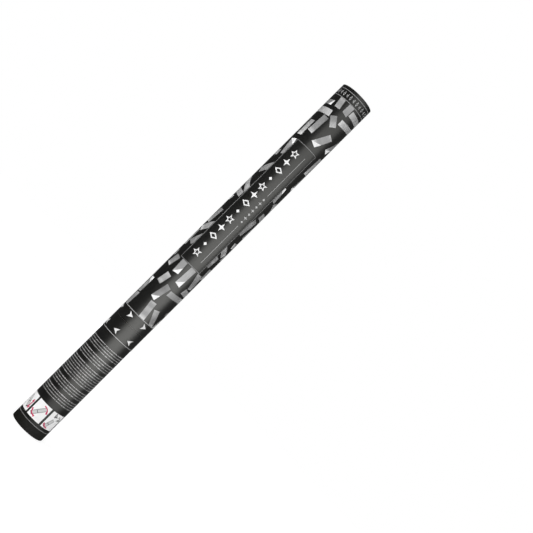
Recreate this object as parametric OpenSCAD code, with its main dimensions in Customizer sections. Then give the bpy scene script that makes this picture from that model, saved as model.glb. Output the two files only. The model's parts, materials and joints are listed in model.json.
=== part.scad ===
// Twist-fired confetti popper: a card tube in two lengths that turn against each other,
// with a compressed air bottle and its release valve in the handle, and the confetti in the barrel.
// The tube stands upright on its base cap, with the front of the print towards -Y.

/* [Tube] */
// Full length from the base to the muzzle
total_len = 600; // [560:5:680]
// Outside diameter over the printed label
body_d = 50; // [48:0.5:54]
// Wall of the card tube
tube_wall = 2; // [1.6:0.1:2.4]
// Thickness of the printed label
label_t = 0.25; // [0.1:0.05:0.5]
// Height of the seam where the barrel turns on the handle
seam_z = 185; // [175:1:200]
// Open gap at the seam
seam_gap = 0.6; // [0.3:0.1:0.8]

/* [Base cap] */
// Height of the plain band below the label
cap_h = 12.4; // [11:0.2:16]
// Width of the rim that the popper stands on
cap_rim_w = 5; // [4:0.5:7]
// Depth of the hollow under the cap
cap_recess = 3; // [2:0.5:5]
// Thickness of the cap's floor
cap_floor_t = 2.4; // [1.6:0.2:3]
// Rounding of the cap's lower edge
cap_edge_r = 0.8; // [0.4:0.1:1.5]
// Length of the spigot glued into the handle tube
spigot_len = 17.6; // [12:0.5:24]
// Wall of the spigot
spigot_wall = 1.8; // [1.4:0.1:2]
// Thickness of the ribs on both sides of the floor
rib_t = 1.6; // [1.2:0.1:2.4]
// Number of ribs
rib_n = 6; // [4:1:8]

/* [Air bottle] */
// Open space between the bottle and the tube round it
bottle_gap = 3.75; // [2.8:0.05:5]
// Wall of the bottle
bottle_wall = 0.8; // [0.5:0.1:1.2]
// Height of the bottle's standing ring above the base
bottle_z = 10; // [9:0.5:12]
// Rise of the domed base
dome_h = 7; // [5:0.5:9]
// Radius of the corner between base and side
bottle_corner_r = 3.2; // [2.4:0.2:4.2]
// Flat width of the standing ring
stand_w = 1.8; // [1.2:0.2:2.6]
// Wall of the neck
neck_wall = 1.2; // [0.9:0.1:1.4]
// Straight length of the neck
neck_len = 10; // [9.5:0.5:14]
// Radius of the rolled bead at the mouth
bead_r = 1.4; // [1.1:0.1:1.6]
// Radius of the rubber plug in the base
plug_r = 3; // [2.4:0.2:3.6]

/* [Valve] */
// Wall of the valve tower
tower_wall = 3.5; // [3:0.1:4]
// Wall of the plug in the bottle's neck, round the valve's bore
seat_wall = 3; // [2.7:0.1:3.4]
// How far the seat's flange stands out past the neck
flange_w = 1.8; // [1.6:0.1:2.4]
// Thickness of the flange
flange_t = 4; // [3:0.2:5]
// Wall of the threaded spigot that carries the tower
tower_spigot_wall = 2; // [1.6:0.1:2.4]
// Height of the spigot
tower_spigot_h = 3; // [2:0.5:4]
// Height of the air windows
window_h = 12; // [10:0.5:13]
// Width of an air window, in degrees round the tower
window_deg = 58; // [40:1:70]
// Thickness of the shoulder
shoulder_t = 2.2; // [1.6:0.2:3]
// Height of the stop lugs above the shoulder
lug_h = 2.8; // [2:0.2:3.6]
// Thickness of a stop lug
lug_wall = 1.4; // [1.1:0.1:1.8]
// Thickness of the crimped collar
collar_t = 0.8; // [0.6:0.1:1.1]
// How far the plunger rises when it is let go
plunger_rise = 15; // [13:0.5:16]
// Section diameter of the O-ring in the neck
neck_ring_d = 2.2; // [1.8:0.1:2.4]
// Section diameter of the O-ring on the plunger
plunger_ring_d = 2; // [1.6:0.1:2.2]
// Thickness of the snap ring
snap_t = 1.2; // [1:0.1:1.5]

/* [Lock balls and release ring] */
// Diameter of a lock ball
ball_d = 5; // [4.6:0.1:5.2]
// Clearance of a freed ball from the plunger's head
ball_clear = 0.6; // [0.4:0.05:0.9]
// Turn of the barrel from rest to its stop, in degrees
twist_deg = 60; // [50:1:64]
// Height of the release ring
ring_h = 16; // [15:0.5:18]
// Open way for the air between the ring's hub and its rim
air_way = 2.85; // [2.2:0.05:3.5]
// Wall of the hub outside the slots for the stop lugs
hub_skin = 1.3; // [1:0.1:1.8]
// Wall of the hub between the slots and the ball pockets
hub_web = 0.75; // [0.6:0.05:1.2]
// Wall of the ring's rim
rim_wall = 1.6; // [1.2:0.1:2]
// Height of the rim and its spokes
rim_h = 12; // [9:0.5:12.5]
// Width of a spoke
spoke_w = 5; // [4:0.5:7]
// Height of the ring's lower face below the seam
ring_drop = 13; // [11:0.5:15]

/* [Coupling and wad] */
// Length of the coupling sleeve below the seam
sleeve_below = 23; // [18:0.5:24]
// Wall of the coupling sleeve
sleeve_wall = 1.6; // [1.3:0.1:2]
// Depth of the step that the release ring seats against
sleeve_step = 0.8; // [0.5:0.1:1.2]
// Width of a key on the release ring
key_w = 6; // [4:0.5:8]
// How far a key stands out
key_h = 0.7; // [0.5:0.1:0.9]
// Thickness of the grid under the wad
grid_t = 2.5; // [1.8:0.1:3.5]
// Radius of the grid's hub
grid_hub_r = 6; // [5:0.5:7]
// Drop of the grid's hub below the grid
grid_hub_drop = 7.7; // [5:0.5:10]
// Thickness of the foam wad
foam_t = 10; // [6:0.5:16]
// Thickness of the card disc on the wad
card_t = 1.2; // [0.8:0.1:2]

/* [Confetti] */
// Width of a confetti strip
strip_w = 11; // [9:0.5:11.5]
// Open space between the stacks
stack_gap = 0.4; // [0.2:0.1:0.8]
// Open space between two layers of stacks
layer_gap = 0.5; // [0.3:0.1:1.5]
// How unevenly the strips lie in a stack
strip_play = 0.35; // [0.1:0.05:0.6]
// Bundles of strips in one stack
bundle_n = 8; // [5:1:10]
// Turn of each layer against the one below, in degrees
layer_turn = 34; // [0:1:90]

/* [Muzzle cap] */
// Thickness of the cap's flange
muzzle_flange_t = 1; // [0.8:0.1:1.6]
// Depth that the cap's skirt reaches into the barrel
skirt_len = 12; // [8:0.5:16]
// Wall of the skirt
skirt_wall = 1.3; // [1:0.1:2]
// Depth of the hollow in the cap's top
muzzle_recess = 1.4; // [0.8:0.1:3]

/* [Clearances] */
// Radial clearance of a glued joint
glue_fit = 0.1; // [0.05:0.01:0.15]
// Radial clearance where one piece turns or slides in another
run_fit = 0.2; // [0.15:0.01:0.25]
// Radial clearance of the release ring on its tower
ring_fit = 0.25; // [0.2:0.01:0.3]
// Clearance round a lock ball, from the ring and from the plunger
ball_fit = 0.15; // [0.12:0.01:0.18]
// Axial clearance above and below a moving piece
end_fit = 0.3; // [0.2:0.05:0.35]

/* [Hidden] */

// Overrun of every cut and join
over = 0.5;
// Facets of the round pieces, which stay true circles
$fn = 96;
// Points of an arc in a profile, and of a ball ramp
arc_n = 10;
ramp_n = 20;
// Confetti packs, and the balls with their pockets, stop lugs and windows
pack_n = 7;
lock_n = 3;

// Radii of the tube, from the outside in
out_r = body_d / 2;
tube_r = out_r - label_t;
bore_r = tube_r - tube_wall;
glued_r = bore_r - glue_fit;
running_r = bore_r - run_fit;

// Radii of the release ring and the valve, from the sleeve's wall inwards
sleeve_in_r = running_r - sleeve_wall;
rim_r = sleeve_in_r - glue_fit;
hub_r = rim_r - rim_wall - air_way;
slot_fit = 0.2;
lug_r = hub_r - hub_skin - slot_fit;
lug_setback = 0.3;
shoulder_r = lug_r + lug_setback;
pocket_r = lug_r - lug_wall - slot_fit - hub_web;
valve_bore_r = pocket_r - ball_d - ball_fit - ball_clear + run_fit;
tower_r = valve_bore_r + tower_wall;
hub_bore_r = tower_r + ring_fit;

// Heights of the handle, from the seam down to the mouth of the bottle
handle_top = seam_z - seam_gap / 2;
barrel_z = seam_z + seam_gap / 2;
ring_z = seam_z - ring_drop;
shoulder_top = ring_z - end_fit;
shoulder_z = shoulder_top - shoulder_t;
window_land = 1.5;
window_top = shoulder_z - window_land;
window_z = window_top - window_h;
spigot_land = 1;
spigot_top = window_z - spigot_land;
tower_z = spigot_top - tower_spigot_h;
mouth_z = tower_z - flange_t;

// Base cap
cap_floor_z = cap_recess + cap_floor_t;
spigot_top_z = cap_h + spigot_len;
spigot_in_r = glued_r - spigot_wall;
spigot_lead = 0.8;
rib_setback = 0.6;
rib_hub_r = 5;
fin_drop = 2;

// Air bottle, with heights above its standing ring
bottle_r = bore_r - bottle_gap;
bottle_h = mouth_z - bottle_z;
neck_bore_r = valve_bore_r + seat_wall;
neck_r = neck_bore_r + neck_wall;
stand_r = bottle_r - bottle_corner_r;
stand_in_r = stand_r - stand_w;
shoulder_rise = bottle_r - neck_r;
bottle_side_h = bottle_h - neck_len - shoulder_rise;
dome_r = (stand_in_r * stand_in_r + dome_h * dome_h) / (2 * dome_h);
dome_cz = dome_h - dome_r;
plug_head_r = plug_r * 1.5;
plug_head_t = plug_r * 0.6;

// Valve seat, its seal and the collar
valve_plug_r = neck_bore_r - glue_fit;
flange_r = neck_r + flange_w;
tower_spigot_r = valve_bore_r + tower_spigot_wall;
groove_play = 0.2;
seal_fit = 0.04;
neck_ring_r = neck_bore_r - seal_fit - neck_ring_d / 2;
neck_groove_r = neck_ring_r - neck_ring_d / 2 - seal_fit;
neck_groove_h = neck_ring_d + groove_play;
neck_ring_z = mouth_z - neck_len / 2;
collar_in_r = flange_r + glue_fit;
collar_r = collar_in_r + collar_t;
collar_top = tower_z + collar_t;
collar_z = mouth_z - 2 * bead_r - collar_t;
collar_lip_r = tower_r + run_fit;

// Neck holder
holder_in_r = collar_r + glue_fit;
holder_wall = 1.6;
holder_rim_wall = 1.8;
holder_spoke_w = 1.6;
holder_rim_h = 14;
holder_mid_z = (collar_z + collar_top) / 2;
holder_n = 6;

// Valve tower
ring_top = ring_z + ring_h;
ball_z = ring_z + ring_h / 2;
snap_z = ring_top + end_fit;
snap_depth = 1;
snap_in_r = tower_r - snap_depth;
snap_w = 3.1;
snap_r = snap_in_r + snap_w;
snap_land = 2.4;
snap_open_deg = 50;
snap_ear_r = 1.7;
snap_eye_r = 0.7;
tower_top = snap_z + snap_t + snap_land;
tower_edge = 0.6;
ball_hole_r = ball_d / 2 + run_fit;
lug_deg = 12;
lug_play_deg = 1.5;

// Lock balls and the ring's pockets
ball_rest_r = hub_bore_r - ball_fit - ball_d / 2;
ball_free_r = pocket_r - ball_fit - ball_d / 2;
ball_shift = ball_free_r - ball_rest_r;
pocket_head = 1;
pocket_top = ball_z + ball_d / 2 + pocket_head;
lock_step = 360 / lock_n;
first_ball_deg = 90;
first_lug_deg = 30;

// Plunger
plunger_r = valve_bore_r - run_fit;
waist_r = ball_rest_r - ball_d / 2 - ball_fit;
cone_slope = ball_shift / plunger_rise;
cone_h = (plunger_r - waist_r) / cone_slope;
head_top = ball_z - cone_h;
plunger_top = tower_top;
stem_tip_r = waist_r * 0.6;
plunger_lead = 0.5;
plunger_ring_r = valve_bore_r - 2 * seal_fit - plunger_ring_d / 2;
plunger_groove_r = plunger_ring_r - plunger_ring_d / 2 - seal_fit;
plunger_groove_h = plunger_ring_d + groove_play;
plunger_ring_rise = 2.8;
plunger_ring_z = mouth_z + plunger_ring_rise;

// Coupling sleeve and the ring's rim
sleeve_z = seam_z - sleeve_below;
rim_z = ball_z - rim_h / 2;
rim_top = rim_z + rim_h;

// Grid and wad
grid_hub_z = plunger_top + plunger_rise + end_fit;
grid_z = grid_hub_z + grid_hub_drop;
grid_rim_w = 2.4;
grid_mid_w = 1.6;
grid_mid_r = (glued_r + grid_hub_r) / 2;
grid_spoke_w = 1.8;
grid_n = 6;
wad_z = grid_z + grid_t + end_fit;
wad_r = bore_r - end_fit;
card_z = wad_z + foam_t;

// Muzzle cap
muzzle_z = total_len - muzzle_flange_t;
skirt_z = muzzle_z - skirt_len;
skirt_in_r = running_r - skirt_wall;
muzzle_plate_t = muzzle_flange_t;
muzzle_plate_top = total_len - muzzle_recess;
muzzle_edge_r = muzzle_flange_t / 2;
skirt_lead = 0.6;

// Confetti
charge_z = card_z + card_t + layer_gap;
layer_pitch = (skirt_z - charge_z) / pack_n;
strip_len = layer_pitch - layer_gap;
charge_r = wad_r;
stack_pitch = strip_w + stack_gap;

// Points of an ellipse arc about a centre, from angle a to angle b
function oval(c, rx, ry, a, b) =
    [for (i = [0:arc_n]) let (t = a + (b - a) * i / arc_n) [c[0] + rx * cos(t), c[1] + ry * sin(t)]];

function arc(c, r, a, b) = oval(c, r, r, a, b);

// Angle at which a circle of radius r about (0, z) reaches a height, and a radius
function angle_at_height(r, z, h) = asin((h - z) / r);
function angle_at_radius(r, x) = acos(x / r);

// A ring with a plain rectangular section
module band(inner, outer, z, h) {
    translate([0, 0, z]) difference() {
        cylinder(r = outer, h = h);
        translate([0, 0, -over]) cylinder(r = inner, h = h + 2 * over);
    }
}

// A straight bar along a radius, centred on it
module bar(from_r, to_r, w, z, h) {
    translate([from_r, -w / 2, z]) cube([to_r - from_r, w, h]);
}

// A block that follows the circle, centred on the X axis
module wedge(deg, inner, outer, z, h) {
    rotate([0, 0, -deg / 2]) rotate_extrude(angle = deg) translate([inner, z]) square([outer - inner, h]);
}

// Copies turned evenly about the tube's axis
module around(n, first = 0) {
    for (i = [0:n - 1]) rotate([0, 0, first + i * 360 / n]) children();
}

// Moulded cap that closes the handle and carries the bottle
module base_cap() {
    shell = concat(
        [[0, cap_recess], [out_r - cap_rim_w, cap_recess], [out_r - cap_rim_w, 0]],
        arc([out_r - cap_edge_r, cap_edge_r], cap_edge_r, -90, 0),
        [[out_r, cap_h], [glued_r, cap_h], [glued_r, spigot_top_z - spigot_lead],
         [glued_r - spigot_lead, spigot_top_z], [spigot_in_r, spigot_top_z],
         [spigot_in_r, cap_floor_z], [0, cap_floor_z]]);
    color([0.11, 0.11, 0.10]) {
        rotate_extrude() polygon(shell);
        around(rib_n) bar(0, out_r - cap_rim_w + over, rib_t, rib_setback, cap_recess - rib_setback + over);
        translate([0, 0, rib_setback]) cylinder(r = rib_hub_r, h = cap_recess - rib_setback + over);
        around(rib_n) bar(plug_head_r + over, spigot_in_r + over, rib_t, cap_floor_z - over,
                          bottle_z - cap_floor_z + over);
        around(rib_n) bar(bottle_r + run_fit, spigot_in_r + over, rib_t, bottle_z - over,
                          spigot_top_z - fin_drop - bottle_z + over);
    }
}

module handle_tube() {
    color([0.45, 0.36, 0.27]) band(bore_r, tube_r, cap_h, handle_top - cap_h);
}

module handle_label() {
    color([0.10, 0.10, 0.10]) band(tube_r, out_r, cap_h, handle_top - cap_h);
}

// Drawn aluminium bottle with a domed base, a round shoulder and a rolled bead at its mouth
module air_bottle() {
    dome_out = arc([0, dome_cz], dome_r, angle_at_radius(dome_r, plug_r), angle_at_height(dome_r, dome_cz, 0));
    dome_in_r = dome_r + bottle_wall;
    dome_in = arc([0, dome_cz], dome_in_r, angle_at_height(dome_in_r, dome_cz, bottle_wall),
                  angle_at_radius(dome_in_r, plug_r));
    outside = concat(
        dome_out,
        arc([stand_r, bottle_corner_r], bottle_corner_r, -90, 0),
        arc([neck_r, bottle_side_h], shoulder_rise, 0, 90),
        arc([neck_r, bottle_h - bead_r], bead_r, -90, 90));
    inside = concat(
        [[neck_bore_r, bottle_h]],
        oval([neck_bore_r, bottle_side_h], bottle_r - bottle_wall - neck_bore_r,
             shoulder_rise - bottle_wall, 90, 0),
        arc([stand_r, bottle_corner_r], bottle_corner_r - bottle_wall, 0, -90),
        dome_in);
    color([0.80, 0.81, 0.83]) translate([0, 0, bottle_z]) rotate_extrude() polygon(concat(outside, inside));
}

// Rubber plug that seals the hole in the bottle's base
module fill_plug() {
    dome_in_r = dome_r + bottle_wall;
    section = concat(
        [[0, dome_h - plug_head_t]],
        [[plug_r, dome_cz + sqrt(dome_r * dome_r - plug_r * plug_r) - plug_head_t]],
        arc([0, dome_cz], dome_in_r, angle_at_radius(dome_in_r, plug_r),
            angle_at_radius(dome_in_r, plug_head_r)),
        [[plug_head_r, dome_h + bottle_wall + plug_head_t / 2], [plug_r, dome_h + bottle_wall + plug_head_t],
         [0, dome_h + bottle_wall + plug_head_t]]);
    color([0.15, 0.15, 0.15]) translate([0, 0, bottle_z]) rotate_extrude() polygon(section);
}

// Spoked ring that keeps the bottle's neck on the axis and lets the air past
module neck_holder() {
    collar_h = collar_top - collar_z;
    color([0.85, 0.84, 0.80]) {
        band(holder_in_r, holder_in_r + holder_wall, collar_z, collar_h);
        band(glued_r - holder_rim_wall, glued_r, holder_mid_z - holder_rim_h / 2, holder_rim_h);
        around(holder_n) bar(holder_in_r + holder_wall / 2, glued_r - holder_rim_wall / 2, holder_spoke_w,
                             collar_z, collar_h);
    }
}

// Valve seat: a plug in the bottle's neck, a flange on its mouth and a spigot for the tower
module valve_seat() {
    plug_z = mouth_z - neck_len;
    mouth_lead = (valve_plug_r - valve_bore_r) / 2;
    section = [
        [valve_bore_r, spigot_top], [valve_bore_r, plug_z + mouth_lead], [valve_bore_r + mouth_lead, plug_z],
        [valve_plug_r, plug_z],
        [valve_plug_r, neck_ring_z - neck_groove_h / 2], [neck_groove_r, neck_ring_z - neck_groove_h / 2],
        [neck_groove_r, neck_ring_z + neck_groove_h / 2], [valve_plug_r, neck_ring_z + neck_groove_h / 2],
        [valve_plug_r, mouth_z], [flange_r, mouth_z], [flange_r, tower_z],
        [tower_spigot_r, tower_z], [tower_spigot_r, spigot_top]];
    color([0.85, 0.70, 0.35]) rotate_extrude() polygon(section);
}

module neck_seal() {
    color([0.12, 0.12, 0.12]) rotate_extrude() translate([neck_ring_r, neck_ring_z]) circle(r = neck_ring_d / 2);
}

// Thin collar rolled over the flange and under the bead
module crimp_collar() {
    top_lip_z = tower_z;
    low_lip_z = collar_z + collar_t;
    section = concat(
        [[neck_r + glue_fit, collar_z]],
        arc([collar_r - collar_t, collar_z + collar_t], collar_t, -90, 0),
        arc([collar_r - collar_t, collar_top - collar_t], collar_t, 0, 90),
        [[collar_lip_r, collar_top], [collar_lip_r, top_lip_z], [collar_in_r, top_lip_z],
         [collar_in_r, low_lip_z], [neck_r + glue_fit, low_lip_z]]);
    color([0.80, 0.81, 0.83]) rotate_extrude() polygon(section);
}

// Moulded tower: air windows, ball holes, the shoulder with its stop lugs, and the snap ring's groove
module valve_tower() {
    section = [
        [tower_spigot_r, tower_z], [tower_r, tower_z], [tower_r, shoulder_z], [shoulder_r, shoulder_z],
        [shoulder_r, shoulder_top], [tower_r, shoulder_top], [tower_r, snap_z], [snap_in_r, snap_z],
        [snap_in_r, snap_z + snap_t], [tower_r, snap_z + snap_t], [tower_r, tower_top - tower_edge],
        [tower_r - tower_edge, tower_top], [valve_bore_r + tower_edge, tower_top],
        [valve_bore_r, tower_top - tower_edge], [valve_bore_r, spigot_top], [tower_spigot_r, spigot_top]];
    color([0.86, 0.85, 0.80]) {
        difference() {
            rotate_extrude() polygon(section);
            around(lock_n, first_lug_deg) wedge(window_deg, valve_bore_r - over, tower_r + over,
                                                window_z, window_h);
            around(lock_n, first_ball_deg) translate([0, 0, ball_z]) rotate([0, 90, 0])
                cylinder(r = ball_hole_r, h = tower_r + over);
        }
        around(lock_n, first_lug_deg) wedge(lug_deg, lug_r - lug_wall, lug_r, shoulder_top - over,
                                            lug_h + over);
    }
}

// Open spring ring with an eye at each end
module snap_ring() {
    color([0.62, 0.63, 0.65]) translate([0, 0, snap_z]) difference() {
        union() {
            rotate([0, 0, snap_open_deg / 2 - 90]) rotate_extrude(angle = 360 - snap_open_deg)
                translate([snap_in_r, 0]) square([snap_r - snap_in_r, snap_t]);
            for (side = [-1, 1]) rotate([0, 0, side * snap_open_deg / 2 - 90])
                translate([snap_r, 0, 0]) cylinder(r = snap_ear_r, h = snap_t);
        }
        for (side = [-1, 1]) rotate([0, 0, side * snap_open_deg / 2 - 90])
            translate([snap_r, 0, -over]) cylinder(r = snap_eye_r, h = snap_t + 2 * over);
        translate([0, 0, -over]) cylinder(r = snap_in_r, h = snap_t + 2 * over);
    }
}

// Plunger: a sealed head, a long cone that the balls bear on, and a slim stem
module plunger() {
    groove_low = plunger_ring_z - plunger_groove_h / 2;
    groove_high = plunger_ring_z + plunger_groove_h / 2;
    section = concat(
        [[0, mouth_z], [plunger_r - plunger_lead, mouth_z], [plunger_r, mouth_z + plunger_lead],
         [plunger_r, groove_low], [plunger_groove_r, groove_low], [plunger_groove_r, groove_high],
         [plunger_r, groove_high], [plunger_r, head_top], [waist_r, ball_z]],
        oval([waist_r - stem_tip_r, plunger_top - stem_tip_r], stem_tip_r, stem_tip_r, 0, 90),
        [[0, plunger_top]]);
    color([0.75, 0.20, 0.16]) rotate_extrude() polygon(section);
}

module plunger_seal() {
    color([0.12, 0.12, 0.12]) rotate_extrude() translate([plunger_ring_r, plunger_ring_z])
        circle(r = plunger_ring_d / 2);
}

module lock_ball(i) {
    color([0.75, 0.76, 0.78]) rotate([0, 0, first_ball_deg + i * lock_step])
        translate([ball_rest_r, 0, ball_z]) sphere(r = ball_d / 2);
}

// Section of one ball pocket: a ramp that opens from the hub's bore, with a round end
module pocket_section() {
    ramp = [for (i = [0:ramp_n]) let (t = i / ramp_n)
        (hub_bore_r + (pocket_r - hub_bore_r) * t) * [cos(-twist_deg * t), sin(-twist_deg * t)]];
    polygon(concat([[0, 0]], ramp));
    rotate([0, 0, -twist_deg]) translate([ball_free_r, 0]) circle(r = ball_d / 2 + ball_fit);
}

// Release ring: the hub holds the balls in, and a turn brings the deep end of each pocket to its ball
module release_ring() {
    slot_deg = twist_deg + lug_deg + 2 * lug_play_deg;
    color([0.24, 0.36, 0.62]) difference() {
        union() {
            translate([0, 0, ring_z]) cylinder(r = hub_r, h = ring_h);
            band(rim_r - rim_wall, rim_r, rim_z, rim_h);
            around(lock_n, first_lug_deg) bar(hub_r - over, rim_r - rim_wall / 2, spoke_w, rim_z, rim_h);
            around(lock_n, first_lug_deg) bar(rim_r - rim_wall / 2, rim_r + key_h, key_w, rim_z, rim_h);
        }
        translate([0, 0, ring_z - over]) cylinder(r = hub_bore_r, h = ring_h + 2 * over);
        around(lock_n, first_ball_deg) translate([0, 0, ring_z - over])
            linear_extrude(pocket_top - ring_z + over) pocket_section();
        around(lock_n, first_lug_deg - twist_deg / 2) wedge(slot_deg, lug_r - lug_wall - slot_fit,
                                                            lug_r + slot_fit, ring_z - over, lug_h + over);
    }
}

// Sleeve glued into the barrel: its lower half turns inside the handle tube
module coupling_sleeve() {
    step_z = rim_top + glue_fit;
    section = [
        [sleeve_in_r, sleeve_z], [running_r - spigot_lead, sleeve_z], [running_r, sleeve_z + spigot_lead],
        [running_r, barrel_z], [glued_r, barrel_z], [glued_r, grid_z],
        [sleeve_in_r - sleeve_step, grid_z], [sleeve_in_r - sleeve_step, step_z], [sleeve_in_r, step_z]];
    color([0.85, 0.84, 0.80]) difference() {
        rotate_extrude() polygon(section);
        around(lock_n, first_lug_deg) bar(sleeve_in_r - over, rim_r + key_h + glue_fit, key_w + 2 * glue_fit,
                                          sleeve_z - over, step_z - sleeve_z + over);
    }
}

module barrel_tube() {
    color([0.45, 0.36, 0.27]) band(bore_r, tube_r, barrel_z, muzzle_z - barrel_z);
}

module barrel_label() {
    color([0.10, 0.10, 0.10]) band(tube_r, out_r, barrel_z, muzzle_z - barrel_z);
}

// Grid that carries the wad, with a hub that stops the plunger
module wad_support() {
    color([0.85, 0.84, 0.80]) {
        band(glued_r - grid_rim_w, glued_r, grid_z, grid_t);
        band(grid_mid_r - grid_mid_w / 2, grid_mid_r + grid_mid_w / 2, grid_z, grid_t);
        around(grid_n) bar(grid_hub_r / 2, glued_r - grid_rim_w / 2, grid_spoke_w, grid_z, grid_t);
        translate([0, 0, grid_hub_z]) cylinder(r = grid_hub_r, h = grid_hub_drop + grid_t);
    }
}

module wad_foam() {
    color([0.93, 0.93, 0.90]) translate([0, 0, wad_z]) cylinder(r = wad_r, h = foam_t);
}

module wad_card() {
    color([0.55, 0.45, 0.34]) translate([0, 0, card_z]) cylinder(r = wad_r, h = card_t);
}

// Moulded cap pressed into the muzzle, with a hollow top
module muzzle_cap() {
    section = concat(
        [[0, muzzle_plate_top], [0, muzzle_plate_top - muzzle_plate_t],
         [skirt_in_r, muzzle_plate_top - muzzle_plate_t], [skirt_in_r, skirt_z],
         [running_r - skirt_lead, skirt_z], [running_r, skirt_z + skirt_lead], [running_r, muzzle_z],
         [out_r, muzzle_z]],
        arc([out_r - muzzle_edge_r, total_len - muzzle_edge_r], muzzle_edge_r, 0, 90),
        [[skirt_in_r, total_len], [skirt_in_r - muzzle_recess / 2, muzzle_plate_top]]);
    color([0.11, 0.11, 0.10]) rotate_extrude() polygon(section);
}

// One stack of strips: bundles that lie a little unevenly, inside the barrel's bore
module strip_stack(column) {
    x = column * stack_pitch;
    far_x = abs(x) + strip_w / 2 + strip_play;
    depth = 2 * sqrt(charge_r * charge_r - far_x * far_x);
    bundle_t = depth / bundle_n;
    for (k = [0:bundle_n - 1]) {
        slip = strip_play / 2 * sin(137 * k + 70 * column);
        lift = strip_play * (1 + cos(97 * k + 50 * column)) / 2;
        translate([x - strip_w / 2 + slip, k * bundle_t - depth / 2, lift])
            cube([strip_w, bundle_t, strip_len - strip_play]);
    }
}

// One layer of the charge: three stacks of foil strips side by side
module confetti_pack(i) {
    color([0.78, 0.79, 0.81]) translate([0, 0, charge_z + i * layer_pitch]) rotate([0, 0, i * layer_turn])
        for (column = [-1:1]) strip_stack(column);
}

base_cap();
handle_tube();
handle_label();
air_bottle();
fill_plug();
neck_holder();
valve_seat();
neck_seal();
crimp_collar();
valve_tower();
snap_ring();
plunger();
plunger_seal();
lock_ball(0);  // lock_ball_1
lock_ball(1);  // lock_ball_2
lock_ball(2);  // lock_ball_3
release_ring();
coupling_sleeve();
barrel_tube();
barrel_label();
wad_support();
wad_foam();
wad_card();
muzzle_cap();
confetti_pack(0);  // confetti_pack_1
confetti_pack(1);  // confetti_pack_2
confetti_pack(2);  // confetti_pack_3
confetti_pack(3);  // confetti_pack_4
confetti_pack(4);  // confetti_pack_5
confetti_pack(5);  // confetti_pack_6
confetti_pack(6);  // confetti_pack_7
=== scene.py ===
import json
import math
import random

import bpy
import numpy as np
from mathutils import Matrix, Vector

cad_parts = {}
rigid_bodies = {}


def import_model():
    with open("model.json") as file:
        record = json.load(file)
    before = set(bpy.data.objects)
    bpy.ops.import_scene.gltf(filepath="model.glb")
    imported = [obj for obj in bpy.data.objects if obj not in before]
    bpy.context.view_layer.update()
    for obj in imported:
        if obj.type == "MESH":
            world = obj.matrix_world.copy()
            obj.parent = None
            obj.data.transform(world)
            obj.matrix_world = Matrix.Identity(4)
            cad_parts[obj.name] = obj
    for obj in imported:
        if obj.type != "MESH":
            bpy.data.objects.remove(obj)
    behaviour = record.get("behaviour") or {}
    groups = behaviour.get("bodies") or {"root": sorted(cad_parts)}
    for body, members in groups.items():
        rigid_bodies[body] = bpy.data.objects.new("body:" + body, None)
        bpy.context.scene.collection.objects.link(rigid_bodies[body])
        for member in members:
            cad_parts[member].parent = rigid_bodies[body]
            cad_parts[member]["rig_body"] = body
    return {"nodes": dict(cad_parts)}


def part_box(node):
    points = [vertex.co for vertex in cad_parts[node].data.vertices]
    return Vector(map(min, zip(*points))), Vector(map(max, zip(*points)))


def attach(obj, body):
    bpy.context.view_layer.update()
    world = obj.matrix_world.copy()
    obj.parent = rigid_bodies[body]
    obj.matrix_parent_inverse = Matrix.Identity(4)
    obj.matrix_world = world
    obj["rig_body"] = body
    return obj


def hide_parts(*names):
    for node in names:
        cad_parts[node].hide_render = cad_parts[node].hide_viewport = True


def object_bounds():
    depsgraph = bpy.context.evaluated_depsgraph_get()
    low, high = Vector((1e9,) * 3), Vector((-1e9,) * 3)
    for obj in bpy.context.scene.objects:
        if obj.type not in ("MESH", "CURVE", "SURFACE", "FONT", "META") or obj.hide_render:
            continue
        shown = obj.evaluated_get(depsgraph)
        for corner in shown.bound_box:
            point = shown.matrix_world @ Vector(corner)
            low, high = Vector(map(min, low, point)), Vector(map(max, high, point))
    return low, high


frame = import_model()
cadBox = [list(corner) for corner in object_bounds()]
nodes = frame["nodes"]
print("frame loaded with", len(nodes), "nodes")

mm = 0.001
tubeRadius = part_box("barrel_label")[1].x
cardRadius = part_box("barrel_tube")[1].x
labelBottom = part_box("handle_label")[0].z
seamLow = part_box("handle_label")[1].z
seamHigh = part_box("barrel_label")[0].z
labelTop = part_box("barrel_label")[1].z

# Paper and ink lie in thin layers, each a little below the tube's full radius
layers = {
    "paper": tubeRadius - 0.045 * mm,
    "ink": tubeRadius - 0.018 * mm,
    "lap": tubeRadius - 0.032 * mm,
    "edge": tubeRadius - 0.0155 * mm,
    "drawing": tubeRadius - 0.012 * mm,
    "overprint": tubeRadius - 0.002 * mm,
    "inkThickness": 0.012 * mm,
    "slice": 1.25 * mm,
}


# Helpers for modelling by hand

def startObject():
    # an operator acts on all that is selected, so nothing is
    if bpy.context.object and bpy.context.object.mode != "OBJECT":
        bpy.ops.object.mode_set(mode="OBJECT")
    bpy.ops.object.select_all(action="DESELECT")


def onlySelect(piece):
    startObject()
    piece.select_set(True)
    bpy.context.view_layer.objects.active = piece


def editAll(piece):
    onlySelect(piece)
    bpy.ops.object.mode_set(mode="EDIT")
    bpy.ops.mesh.select_all(action="SELECT")


def editSome(piece, kind, test):
    # opens edit mode with the vertices or faces that pass the test selected
    onlySelect(piece)
    bpy.ops.object.mode_set(mode="EDIT")
    bpy.ops.mesh.select_mode(type=kind)
    bpy.ops.mesh.select_all(action="DESELECT")
    bpy.ops.object.mode_set(mode="OBJECT")
    for part in piece.data.vertices if kind == "VERT" else piece.data.polygons:
        part.select = bool(test(part))
    bpy.ops.object.mode_set(mode="EDIT")


def leaveEdit():
    bpy.ops.object.mode_set(mode="OBJECT")
    return bpy.context.object


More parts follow.
